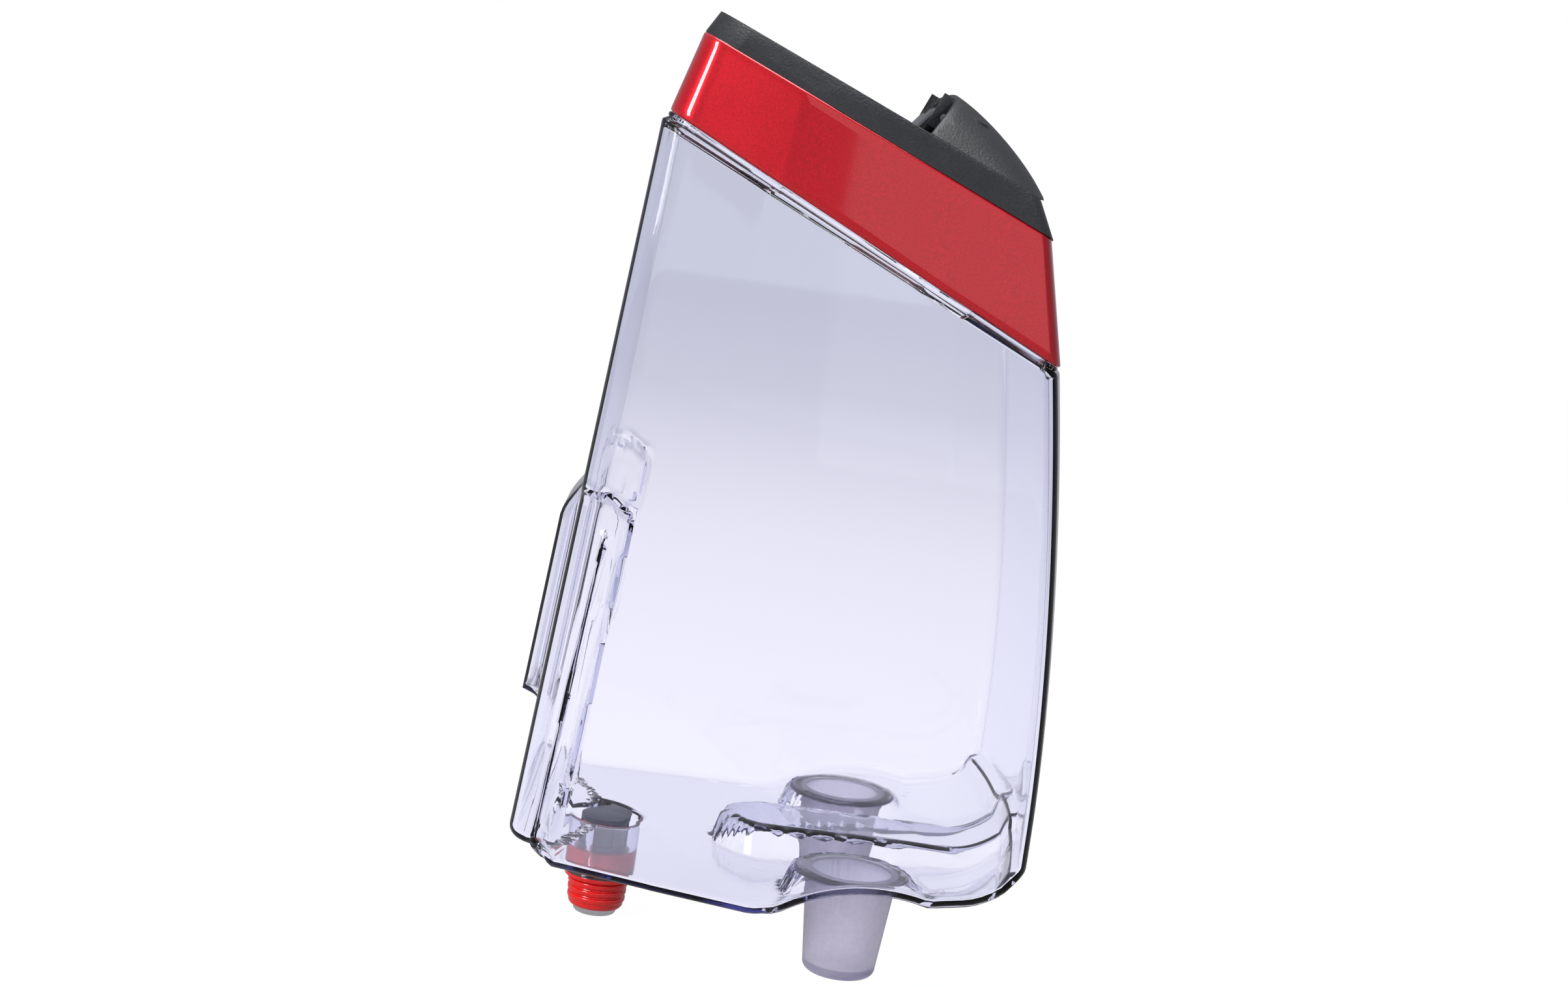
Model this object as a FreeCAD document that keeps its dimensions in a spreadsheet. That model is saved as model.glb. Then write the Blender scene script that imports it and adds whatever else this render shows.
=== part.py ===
# Removable clean water tank of an upright carpet cleaner.
# Millimetres. +X is the front, +Z is up, and the origin is the valve's lower face on its axis.
import FreeCAD, Part
import math
import os
import Sketcher
from types import SimpleNamespace

doc = FreeCAD.newDocument("CleanWaterTank")

# Every driving size: alias, value, what it is.
drivingSizes = [
    ("wall", 2.6, "blow-moulded wall of the tank"),
    ("halfWidth", 96, "half width of the tank at its front"),
    ("seamHalfWidth", 93.5, "half width at the mould seam"),
    ("backHalfWidth", 87, "half width where the back corner starts"),
    ("backCorner", 15, "plan radius of the back corners"),
    ("frontCorner", 6, "plan radius of the front corners"),
    ("frontBow", 7.5, "how far the front wall bows out"),
    ("baseBackX", -36.5, "base section: back wall"),
    ("baseBackZ", 30, "base section: height"),
    ("baseTilt", 0, "base section: slope in degrees"),
    ("baseRun", 196, "base section: back wall to front corner"),
    ("baseSeam", 51, "base section: back wall to the seam"),
    ("middleBackX", -22.3, "middle section: back wall"),
    ("middleBackZ", 200, "middle section: height at the back"),
    ("middleTilt", 17.67, "middle section: slope"),
    ("middleRun", 187.8, "middle section: back wall to front corner"),
    ("middleSeam", 55, "middle section: back wall to the seam"),
    ("shoulderBackX", -11.2, "shoulder section: back wall"),
    ("shoulderBackZ", 323, "shoulder section: height at the back"),
    ("shoulderTilt", 24.79, "shoulder section: slope"),
    ("shoulderRun", 170.5, "shoulder section: back wall to front corner"),
    ("shoulderSeam", 57.6, "shoulder section: back wall to the seam"),
    ("heelZ", 45.5, "underside of the heel"),
    ("backFloorZ", 39, "floor behind the fold"),
    ("foldX", 62, "lowest line of the floor, where the fold meets it"),
    ("foldZ", 35.3, "height of that line"),
    ("frontFloorZ", 41, "floor where the front corner starts to round"),
    ("frontRoundX", 134, "start of the rounded front corner"),
    ("frontRoundZ", 80, "top of the rounded front corner"),
    ("frontReach", 167.5, "front wall at its middle"),
    ("wingRise", 0.17, "rise of the floor wings per millimetre outward"),
    ("wingClimb", 0.177, "climb of the floor wings per millimetre forward"),
    ("humpRadius", 68, "arch over each docking peg"),
    ("humpX", 108.3, "axis of the arch"),
    ("humpZ", -18.8, "axis of the arch at the side wall"),
    ("humpTilt", 7.4, "how the arch falls towards the middle, degrees"),
    ("grooveHalf", 20, "half width of the groove under the floor"),
    ("grooveTip", 46.5, "rear tip of that groove"),
    ("grooveTop", 47.5, "roof of that groove"),
    ("slotTopZ", 182, "top of the guide slot at each back corner"),
    ("slotDepth", 9, "depth of the guide slot"),
    ("hookHalf", 25, "half width of the hanging hook"),
    ("hookTopZ", 183, "top of the hook's ramp"),
    ("hookBottomZ", 91, "underside of the hook"),
    ("pegX", 97.5, "docking pegs, forward of the valve"),
    ("pegY", 60, "docking pegs, out from the middle"),
    ("pegSeatZ", 46.6, "flat seat of a docking peg"),
    ("pegFlange", 21.7, "radius of a peg's flange"),
    ("pegTopRadius", 17.7, "peg radius at the floor"),
    ("pegTipRadius", 14, "peg radius at its tip"),
    ("pegTipZ", 8, "lowest face of a peg"),
    ("pegWall", 2.2, "wall of a peg"),
    ("neckRadius", 14.2, "outside of the valve neck"),
    ("neckBore", 12.35, "bore of the valve neck"),
    ("neckZ", 18, "lower end of the valve neck"),
    ("bandWall", 2.2, "wall of the red collar"),
    ("bandGap", 0.3, "collar to the tank's rim"),
    ("deckX", -0.2, "collar's top edge at the back"),
    ("deckZ", 355, "collar's top edge at the back"),
    ("deckTilt", 22.82, "slope of the deck"),
    ("collarBackX", 3.13, "collar's lower edge in the deck's frame"),
    ("collarBackZ", -30.7, "collar's lower edge in the deck's frame"),
    ("collarTilt", 2.65, "slope of that edge against the deck"),
    ("collarRun", 168.6, "length of that edge"),
    ("deckRun", 145.2, "length of the collar's top edge"),
    ("coverBackX", 1.14, "cover's top edge in the deck's frame"),
    ("coverBackZ", 9.16, "cover's top edge in the deck's frame"),
    ("coverTilt", -0.45, "slope of that edge against the deck"),
    ("coverRun", 132.9, "length of that edge"),
    ("coverHalfWidth", 91.5, "half width of the cover's top edge"),
    ("rimDepth", 10.5, "top of the tank's rim below the deck line"),
    ("gasketThick", 1.5, "collar gasket"),
    ("coverPlate", 3, "plate thickness of the cover"),
    ("wellInset", 10, "width of the cover's border"),
    ("hoodMouth", 86, "mouth of the grip hood along the deck"),
    ("hoodCrest", 27.4, "crest of the grip hood"),
    ("hoodWall", 2.8, "wall of the grip hood"),
    ("leverPinX", 92.5, "lever pin along the deck"),
    ("leverPinZ", 18.6, "lever pin above the deck"),
    ("leverHalf", 34, "half width of the lever"),
    ("pinRadius", 1.6, "lever pin"),
    ("runningGap", 0.06, "radial clearance of a running fit"),
    ("fillX", 44, "fill opening along the deck"),
    ("fillBore", 20, "radius of the fill opening"),
    ("lidRadius", 26, "radius of the fill lid"),
    ("lidPinX", 15.6, "lid pin along the deck"),
    ("lidPinZ", 2.6, "lid pin above the deck line"),
    ("screwRadius", 1.9, "cover screws"),
]

sheet = doc.addObject("Spreadsheet::Sheet", "Sizes")
for row, (alias, value, note) in enumerate(drivingSizes, start=1):
    sheet.set(f"A{row}", alias)
    sheet.set(f"B{row}", str(value))
    sheet.set(f"C{row}", note)
    sheet.setAlias(f"B{row}", alias)
doc.recompute()


class Size:
    """A size that knows its value and the sheet expression behind it."""

    def __init__(self, value, text=None):
        self.value = float(value)
        self.text = text if text else f"({float(value):.7g})"

    def join(self, sign, other, value):
        return Size(value, f"({self.text} {sign} {other.text})")

    def __add__(self, other):
        other = asSize(other)
        return self.join("+", other, self.value + other.value)

    def __sub__(self, other):
        other = asSize(other)
        return self.join("-", other, self.value - other.value)

    def __mul__(self, other):
        other = asSize(other)
        return self.join("*", other, self.value * other.value)

    def __truediv__(self, other):
        other = asSize(other)
        return self.join("/", other, self.value / other.value)

    def __neg__(self):
        return Size(0) - self

    def __radd__(self, other):
        return asSize(other) + self

    def __rsub__(self, other):
        return asSize(other) - self

    def __rmul__(self, other):
        return asSize(other) * self

    def __float__(self):
        return self.value


def asSize(item):
    return item if isinstance(item, Size) else Size(item)


size = SimpleNamespace(**{alias: Size(value, f"Sizes.{alias}") for alias, value, _ in drivingSizes})
zero = Size(0)


# Document helpers: every number they take may be a Size, which stays bound to the sheet.
def bind(item, **values):
    for name, amount in values.items():
        amount = asSize(amount)
        setattr(item, name, amount.value)
        item.setExpression(name, amount.text)
    return item


def place(item, x=0, y=0, z=0, axis=None, angle=0):
    amounts = [asSize(amount) for amount in (x, y, z)]
    turn = FreeCAD.Rotation(FreeCAD.Vector(*(axis or (0, 1, 0))), asSize(angle).value)
    item.Placement = FreeCAD.Placement(FreeCAD.Vector(*(amount.value for amount in amounts)), turn)
    for letter, amount in zip("xyz", amounts):
        item.setExpression(f"Placement.Base.{letter}", amount.text)
    return item


def onDeck(item):
    return place(item, size.deckX, 0, size.deckZ, axis=(0, 1, 0), angle=size.deckTilt)


def cylinder(name, radius, height, x=0, y=0, z=0, axis=None, angle=0):
    item = doc.addObject("Part::Cylinder", name)
    bind(item, Radius=radius, Height=height)
    return place(item, x, y, z, axis, angle)


def crossCylinder(name, radius, halfLength, x, z, y=0):
    """A cylinder along Y, centred on y."""
    half = asSize(halfLength)
    return cylinder(name, radius, half * 2, x, half + y, z, axis=(1, 0, 0), angle=90)


def cone(name, low, high, height, x=0, y=0, z=0):
    item = doc.addObject("Part::Cone", name)
    bind(item, Radius1=low, Radius2=high, Height=height)
    return place(item, x, y, z)


def block(name, lengthX, lengthY, lengthZ, x, y, z):
    """A box whose Y place is its middle."""
    item = doc.addObject("Part::Box", name)
    bind(item, Length=lengthX, Width=lengthY, Height=lengthZ)
    return place(item, x, asSize(y) - asSize(lengthY) / 2, z)


def cut(name, base, tool):
    item = doc.addObject("Part::Cut", name)
    item.Base = base
    item.Tool = tool
    return item


def fuse(name, *shapes):
    if len(shapes) == 2:
        item = doc.addObject("Part::Fuse", name)
        item.Base, item.Tool = shapes
        return item
    item = doc.addObject("Part::MultiFuse", name)
    item.Shapes = list(shapes)
    return item


def common(name, *shapes):
    item = doc.addObject("Part::MultiCommon", name)
    item.Shapes = list(shapes)
    return item


def loft(name, sections, ruled=False):
    item = doc.addObject("Part::Loft", name)
    item.Sections = sections
    item.Solid = True
    item.Ruled = ruled
    return item


def extrude(name, profile, length, direction=(0, 0, 1), symmetric=False):
    item = doc.addObject("Part::Extrusion", name)
    item.Base = profile
    item.DirMode = "Custom"
    item.Dir = FreeCAD.Vector(*direction)
    item.Solid = True
    item.Symmetric = symmetric
    bind(item, LengthFwd=length)
    return item


def arcMiddle(first, last, radius, side):
    """Middle of the arc from first to last; side +1 bows to the left of the way there."""
    chord = last - first
    half = chord.Length / 2
    rise = radius - math.sqrt(max(radius * radius - half * half, 0))
    left = FreeCAD.Vector(-chord.y, chord.x, 0).normalize()
    return (first + last) * 0.5 + left * (rise * side)


def pinPoint(sketch, edge, end, corner, label):
    """Hold one end of an edge at a corner's two sizes."""
    for axis, amount, line in (("X", corner[0], -2), ("Y", corner[1], -1)):
        amount = asSize(amount)
        if abs(amount.value) < 1e-9:
            sketch.addConstraint(Sketcher.Constraint("PointOnObject", edge, end, line))
            continue
        rule = Sketcher.Constraint("Distance" + axis, -1, 1, edge, end, amount.value)
        name = f"{label}{axis}"
        sketch.renameConstraint(sketch.addConstraint(rule), name)
        sketch.setExpression(f"Constraints.{name}", amount.text)


def drawOutline(sketch, corners):
    """Close an outline of lines and arcs. A corner is (x, y), or (x, y, radius, side) where an arc leaves."""
    points = [FreeCAD.Vector(float(corner[0]), float(corner[1]), 0) for corner in corners]
    ends = []
    for index, corner in enumerate(corners):
        first = points[index]
        last = points[(index + 1) % len(points)]
        if len(corner) == 2:
            edge = sketch.addGeometry(Part.LineSegment(first, last), False)
            ends.append((edge, 1, 2))
            continue
        middle = arcMiddle(first, last, float(corner[2]), corner[3])
        edge = sketch.addGeometry(Part.Arc(first, middle, last), False)
        forward = sketch.getPoint(edge, 1).distanceToPoint(first) < 1e-4
        ends.append((edge, 1, 2) if forward else (edge, 2, 1))
    for index, (edge, start, _) in enumerate(ends):
        before, _, finish = ends[index - 1]
        sketch.addConstraint(Sketcher.Constraint("Coincident", before, finish, edge, start))
        pinPoint(sketch, edge, start, corners[index], f"corner{index}")
        if len(corners[index]) == 4:
            radius = asSize(corners[index][2])
            rule = sketch.addConstraint(Sketcher.Constraint("Radius", edge, radius.value))
            sketch.renameConstraint(rule, f"arc{index}")
            sketch.setExpression(f"Constraints.arc{index}", radius.text)
    return sketch


def flatSketch(name, corners, x=0, y=0, z=0, axis=None, angle=0):
    sketch = doc.addObject("Sketcher::SketchObject", name)
    place(sketch, x, y, z, axis, angle)
    return drawOutline(sketch, corners)


def sideSketch(name, corners, y=0):
    """An outline in X and Z at the given Y."""
    return flatSketch(name, corners, y=y, axis=(1, 0, 0), angle=90)


def sidePrism(name, corners, halfLength, y=0):
    """A side outline made solid to both sides of y."""
    profile = sideSketch(name + "Profile", corners, y)
    return extrude(name, profile, asSize(halfLength) * 2, (0, 1, 0), symmetric=True)


def originPlane(body, role):
    return next(item for item in body.Origin.OriginFeatures if item.Role == role)


def turned(name, corners, x=0, y=0, z=0):
    """A PartDesign body turned about its own Z axis from a radius and height outline."""
    body = doc.addObject("PartDesign::Body", name)
    sketch = body.newObject("Sketcher::SketchObject", name + "Profile")
    sketch.AttachmentSupport = (originPlane(body, "XZ_Plane"), [""])
    sketch.MapMode = "FlatFace"
    drawOutline(sketch, corners)
    turn = body.newObject("PartDesign::Revolution", name + "Turn")
    turn.Profile = sketch
    turn.ReferenceAxis = (sketch, ["V_Axis"])
    turn.Angle = 360
    body.Tip = turn
    return place(body, x, y, z)


# Plan sections: each is a rounded outline on its own sloping plane.
def section(name, backX, backZ, tilt, run, seam, inset=0, halfWidth=None, drop=0):
    inset = asSize(inset)
    wide = (halfWidth or size.halfWidth) - inset
    narrow = wide - (size.halfWidth - size.backHalfWidth)
    bend = wide - (size.halfWidth - size.seamHalfWidth)
    back = size.backCorner - inset * 0.8
    front = size.frontCorner - inset * 0.8 if inset.value < 5 else size.frontCorner
    length = run - inset * 2
    across = wide - front
    bow = (across * across + size.frontBow * size.frontBow) / (size.frontBow * 2)
    corners = [
        (zero, narrow - back, back, 1),
        (back, narrow),
        (seam - inset, bend),
        (length - front, wide, front, 1),
        (length, across, bow, 1),
        (length, -across, front, 1),
        (length - front, -wide),
        (seam - inset, -bend),
        (back, -narrow, back, 1),
        (zero, -(narrow - back)),
    ]
    slope = math.radians(asSize(tilt).value)
    startX = backX + inset * math.cos(slope)
    startZ = backZ - inset * math.sin(slope) - drop
    return flatSketch(name, corners, startX, 0, startZ, axis=(0, 1, 0), angle=tilt)


def tankForm(tag, inset):
    """The tank's body as a solid: inset 0 is its outside, inset wall is its cavity."""
    inset = asSize(inset)
    tiltCosine = math.cos(math.radians(size.shoulderTilt.value))
    body = loft(tag + "Body", [
        section(tag + "Base", size.baseBackX, size.baseBackZ, size.baseTilt,
                size.baseRun, size.baseSeam, inset),
        section(tag + "Middle", size.middleBackX, size.middleBackZ, size.middleTilt,
                size.middleRun, size.middleSeam, inset),
        section(tag + "Shoulder", size.shoulderBackX, size.shoulderBackZ, size.shoulderTilt,
                size.shoulderRun, size.shoulderSeam, inset, drop=inset / tiltCosine),
    ])
    heelRadius = 9 - inset * 0.8
    keep = sidePrism(tag + "Keep", [
        (Size(-60), Size(400)),
        (Size(-60), Size(70)),
        (size.baseBackX + 1.2 + inset, Size(57)),
        (size.baseBackX + 1.2 + inset, size.heelZ + heelRadius + inset, heelRadius * 1.06, -1),
        (size.baseBackX + 10 + inset * 0.2, size.heelZ + inset),
        (size.baseBackX + 13.5 + inset * 0.4, size.heelZ + inset, Size(9), 1),
        (size.baseBackX + 20 + inset * 0.3, size.backFloorZ + inset),
        (size.foldX, size.foldZ + inset),
        (size.frontRoundX, size.frontFloorZ + inset, Size(47), -1),
        (size.frontReach - inset, size.frontRoundZ),
        (size.frontReach + 12, size.frontRoundZ + 20),
        (size.frontReach + 12, Size(400)),
    ], 110)
    solid = common(tag + "Floored", body, keep)
    hook = sidePrism(tag + "Hook", [
        (Size(-20), size.hookTopZ - inset * 2.5),
        (Size(-27.6) + inset, size.hookTopZ - 2.5 - inset * 2.5),
        (Size(-32.3) + inset, size.hookTopZ - 20.5 - inset),
        (Size(-38.5) + inset, size.hookBottomZ + 5 + inset * 0.6),
        (Size(-38) + inset, size.hookBottomZ + inset),
        (Size(-20), size.hookBottomZ + inset),
    ], size.hookHalf - inset)
    solid = fuse(tag + "Hooked", solid, hook)
    tools = [floorGroove(tag, inset)]
    for side, letter in ((1, "Left"), (-1, "Right")):
        tools.append(guideSlot(tag + letter, inset, side))
        tools.append(floorWing(tag + letter, inset, side))
        tools.append(pegArch(tag + letter, inset, side))
    return cut(tag + "Form", solid, fuse(tag + "Tools", *tools))


def floorGroove(tag, inset):
    """The groove under the floor: round at its rear end and open at the front."""
    half = size.grooveHalf + inset
    roof = size.grooveTop + inset
    channel = block(tag + "GrooveRun", Size(140), half * 2, roof, size.grooveTip + size.grooveHalf, 0, 0)
    nose = cylinder(tag + "GrooveNose", half, roof, size.grooveTip + size.grooveHalf)
    return fuse(tag + "Groove", channel, nose)


def guideSlot(tag, inset, side):
    """The slot down a back corner that runs on the cleaner's guide rail."""
    start = size.backHalfWidth - size.slotDepth - inset
    reach = Size(30)
    return sidePrism(tag + "Slot", [
        (Size(-70), Size(10)),
        (Size(-22.4) + inset, Size(10)),
        (Size(-18.5) + inset, Size(46)),
        (Size(-15.2) + inset, Size(79)),
        (Size(-5.1) + inset, size.slotTopZ - 9, Size(9) + inset, 1),
        (Size(-14), size.slotTopZ + inset),
        (Size(-70), size.slotTopZ + inset),
    ], reach / 2, (start + reach / 2) * side)


def floorWing(tag, inset, side):
    """The wedge that lifts the floor towards a side wall, in front of the fold."""
    outer = Size(112)
    inner = Size(12)
    edgeZ = 35.8 + inset
    outline = [
        (inner, edgeZ - (size.halfWidth - inner) * size.wingRise),
        (outer, edgeZ + (outer - size.halfWidth) * size.wingRise),
        (outer, Size(-30)),
        (inner, Size(-30)),
    ]
    if side < 0:
        outline = [(-corner[0], corner[1]) for corner in outline]
    profile = doc.addObject("Sketcher::SketchObject", tag + "WingProfile")
    upright = FreeCAD.Rotation(FreeCAD.Vector(1, 1, 1), 120)
    profile.Placement = FreeCAD.Placement(FreeCAD.Vector(size.foldX.value - 1, 0, 0), upright)
    profile.setExpression("Placement.Base.x", (size.foldX - 1).text)
    drawOutline(profile, outline)
    return extrude(tag + "Wing", profile, Size(130), (1, 0, size.wingClimb.value))


def pegArch(tag, inset, side):
    """The arch of the floor over a docking peg, fading out towards the middle."""
    tilt = size.humpTilt.value
    drum = cylinder(tag + "Arch", size.humpRadius + inset, Size(110), size.humpX,
                    size.halfWidth * side, size.humpZ, axis=(1, 0, 0), angle=90 * side)
    rise = FreeCAD.Rotation(FreeCAD.Vector(1, 0, 0), tilt * side)
    shift = FreeCAD.Vector(size.humpX.value, (size.halfWidth.value + 8) * side, size.humpZ.value + 1)
    drum.Placement = FreeCAD.Placement(shift, rise.multiply(drum.Placement.Rotation))
    return drum


def tankShell():
    """Body and rim joined and hollowed out, then the valve neck and the peg seats added and bored.
    The booleans are exact here: with a document boolean's tolerance the rim stays a second solid."""
    rimInset = size.bandWall + size.bandGap
    flange = onDeck(extrude("Flange", collarOutline("FlangeOutline", 0), Size(3.4), (-0.046, 0, -1)))
    rim = fuse("RimSolid", deckRing("RimOutside", rimInset), flange)
    rimRoom = deckRing("RimInside", rimInset + 2.4, extra=3)
    outside = tankForm("Outside", 0)
    inside = tankForm("Inside", size.wall)
    added = [cylinder("NeckOutside", size.neckRadius, Size(44) - size.neckZ, 0, 0, size.neckZ)]
    removed = [cylinder("NeckBore", size.neckBore, Size(40), 0, 0, size.neckZ - 2)]
    for side, letter in ((1, "Left"), (-1, "Right")):
        middle = size.pegY * side
        seat = size.pegFlange + 1.8
        added.append(cylinder("PegSeat" + letter, seat, Size(5), size.pegX, middle, size.pegSeatZ - 5))
        removed.append(cylinder("PegBore" + letter, size.pegTopRadius + 0.3, Size(20), size.pegX,
                                middle, size.pegSeatZ - 12))
        removed.append(cylinder("PegRoom" + letter, seat, Size(6), size.pegX, middle, size.pegSeatZ))
    doc.recompute()
    shape = outside.Shape.fuse(rim.Shape).cut(rimRoom.Shape).cut(inside.Shape)
    for item in added:
        shape = shape.fuse(item.Shape)
    for item in removed:
        shape = shape.cut(item.Shape)
    shell = doc.addObject("Part::Feature", "tank_shell")
    shell.Shape = shape
    return shell


def collarOutline(name, inset):
    return section(name, size.collarBackX, size.collarBackZ, size.collarTilt,
                   size.collarRun, size.shoulderSeam, inset)


def deckOutline(name, inset, halfWidth=None):
    return section(name, zero, zero, zero, size.deckRun, size.shoulderSeam - 3, inset, halfWidth)


def deckRing(tag, inset, extra=0):
    """A solid between the collar's lower edge and the deck line, cut off at the rim's top."""
    body = loft(tag + "Loft", [collarOutline(tag + "Low", inset), deckOutline(tag + "High", inset)], True)
    keep = block(tag + "Keep", Size(260), Size(260), Size(60), Size(-40), 0, -60 - size.rimDepth + extra)
    item = common(tag, body, keep)
    if extra:
        deeper = extrude(tag + "Deeper", collarOutline(tag + "Foot", inset), Size(8), (-0.046, 0, -1))
        item = fuse(tag + "Deep", item, deeper)
    return onDeck(item)


def dockingPeg(node, side):
    """A hollow tapered peg: flange, taper and closed round tip."""
    tip = size.pegTipZ
    top = size.pegSeatZ
    outer = size.pegTopRadius
    thick = size.pegWall
    return turned(node, [
        (zero, tip),
        (size.pegTipRadius - 3, tip, Size(3.2), -1),
        (size.pegTipRadius + 0.1, tip + 3),
        (outer, top),
        (size.pegFlange, top),
        (size.pegFlange, top + 2.2),
        (outer - thick, top + 2.2),
        (size.pegTipRadius - thick, tip + 4),
        (zero, tip + 3),
    ], size.pegX, size.pegY * side, 0)


def valveHousing():
    """The threaded red housing with its grip rings, flange, chamber and flat seat."""
    corners = [(Size(8.3), Size(3)), (Size(10.4), Size(3)), (Size(11.2), Size(4.2)), (Size(11.2), Size(5.6))]
    for ring in range(3):
        low = 6.0 + ring * 3.1
        wide = 11.8 + ring * 0.2
        corners += [(Size(wide), Size(low)), (Size(wide), Size(low + 1.7)),
                    (Size(wide - 0.8), Size(low + 2.1)), (Size(wide - 0.8), Size(low + 2.7))]
    corners += [(Size(12.3), Size(15.0)), (Size(13.9), Size(15.2)), (Size(13.9), Size(16.9)),
                (size.neckBore, Size(16.9)), (size.neckBore, Size(26)), (Size(9.5), Size(26)),
                (Size(9.5), Size(10.6)), (Size(5.2), Size(10.6)), (Size(5.2), Size(5.5)),
                (Size(8.3), Size(5.5))]
    return turned("valve_housing", corners)


def valveParts():
    turned("valve_tip_ring", [
        (Size(5.4), zero), (Size(7.4), zero, Size(1.6), -1), (Size(8.8), Size(1.5)),
        (Size(9.2), Size(3)), (Size(8.3), Size(3)), (Size(8.3), Size(5.5)), (Size(5.4), Size(5.5)),
    ])
    turned("valve_gasket", [
        (size.neckBore + 0.05, Size(16.9)), (Size(14.1), Size(16.9)),
        (Size(14.1), size.neckZ), (size.neckBore + 0.05, size.neckZ),
    ])
    turned("valve_plunger", [
        (zero, Size(1.3)), (Size(3.4), Size(1.3)), (Size(4), Size(1.9)), (Size(4), Size(12.4)),
        (Size(8.4), Size(12.4)), (Size(8.4), Size(14.4)), (Size(3), Size(14.4)),
        (Size(3), Size(16.6)), (zero, Size(16.6)),
    ])
    turned("plunger_seal", [
        (Size(4), Size(11)), (Size(7.6), Size(11)), (Size(8), Size(11.4)), (Size(8), Size(12.4)),
        (Size(4), Size(12.4)),
    ])
    plate = cylinder("RetainerPlate", 9.5, 1.8, 0, 0, 24.2)
    windows = []
    for index in range(4):
        angle = math.radians(45 + 90 * index)
        windows.append(cylinder(f"RetainerWindow{index}", 2.1, 4, 6 * math.cos(angle),
                                6 * math.sin(angle), 23))
    cut("spring_retainer", plate, fuse("RetainerWindows", *windows))
    coil("valve_spring", radius=5.4, wire=0.5, low=15.0, high=23.6, turns=4)


def coil(node, radius, wire, low, high, turns, local=None):
    """An open coil spring: a round wire swept along short straight spans of a helix."""
    spans = 12 * turns
    points = []
    for index in range(spans + 1):
        angle = 2 * math.pi * index / 12
        points.append(FreeCAD.Vector(radius * math.cos(angle), radius * math.sin(angle),
                                     (high - low) * index / spans))
    ring = Part.Wire(Part.makeCircle(wire, points[0], points[1] - points[0]))
    item = doc.addObject("Part::Feature", node)
    item.Shape = Part.makePolygon(points).makePipeShell([ring], True, False, 1)
    rest = FreeCAD.Placement(FreeCAD.Vector(0, 0, low), FreeCAD.Rotation())
    item.Placement = local.multiply(rest) if local else rest
    return item


def strainer():
    """The inlet strainer: a ribbed frame and the screen inside it."""
    parts = [turnedProfile("StrainerFoot", [
        (Size(7.4), Size(26)), (Size(9.8), Size(26)), (Size(9.8), Size(28)), (Size(7.4), Size(28)),
    ]), cylinder("StrainerTop", 9.8, 1.8, 0, 0, 39.2)]
    for index in range(6):
        rib = block(f"StrainerRib{index}", 1.0, 1.6, 11.4, 0, 0, 0)
        angle = 60 * index
        place(rib, 8.75 * math.cos(math.radians(angle)) + 0.8 * math.sin(math.radians(angle)),
              8.75 * math.sin(math.radians(angle)) - 0.8 * math.cos(math.radians(angle)), 27.9,
              axis=(0, 0, 1), angle=angle)
        parts.append(rib)
    fuse("strainer_frame", *parts)
    turned("strainer_screen", [
        (Size(8.1), Size(28)), (Size(8.7), Size(28)), (Size(8.7), Size(39.2)), (Size(8.1), Size(39.2)),
    ])


def turnedProfile(name, corners):
    """A plain solid of revolution for use in a boolean."""
    sketch = sideSketch(name + "Profile", corners)
    item = doc.addObject("Part::Revolution", name)
    item.Source = sketch
    item.Axis = FreeCAD.Vector(0, 0, 1)
    item.Angle = 360
    item.Solid = True
    return item


def deckSlab(tag, inset, low, high):
    """The collar's inside shape, inset, between two heights of the deck's frame."""
    body = loft(tag + "Loft", [collarOutline(tag + "Low", inset), deckOutline(tag + "High", inset)], True)
    high = asSize(high)
    low = asSize(low)
    keep = block(tag + "Keep", Size(260), Size(260), high - low, Size(-40), 0, low)
    return common(tag, body, keep)


def coverOutline(name, inset):
    return section(name, size.coverBackX, size.coverBackZ, size.coverTilt,
                   size.coverRun, size.shoulderSeam - 6, inset, size.coverHalfWidth)


def collarParts():
    outer = loft("BandOutside", [collarOutline("BandLow", 0), deckOutline("BandHigh", 0)], True)
    inner = loft("BandInside", [collarOutline("BandInLow", size.bandWall),
                                deckOutline("BandInHigh", size.bandWall)], True)
    onDeck(cut("collar_band", outer, inner))
    low = -size.rimDepth
    ring = deckSlab("GasketOutside", size.bandWall + 0.6, low, low + size.gasketThick)
    hole = deckSlab("GasketInside", size.bandWall + 3.4, low, low + size.gasketThick)
    onDeck(cut("collar_gasket", ring, hole))


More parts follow.
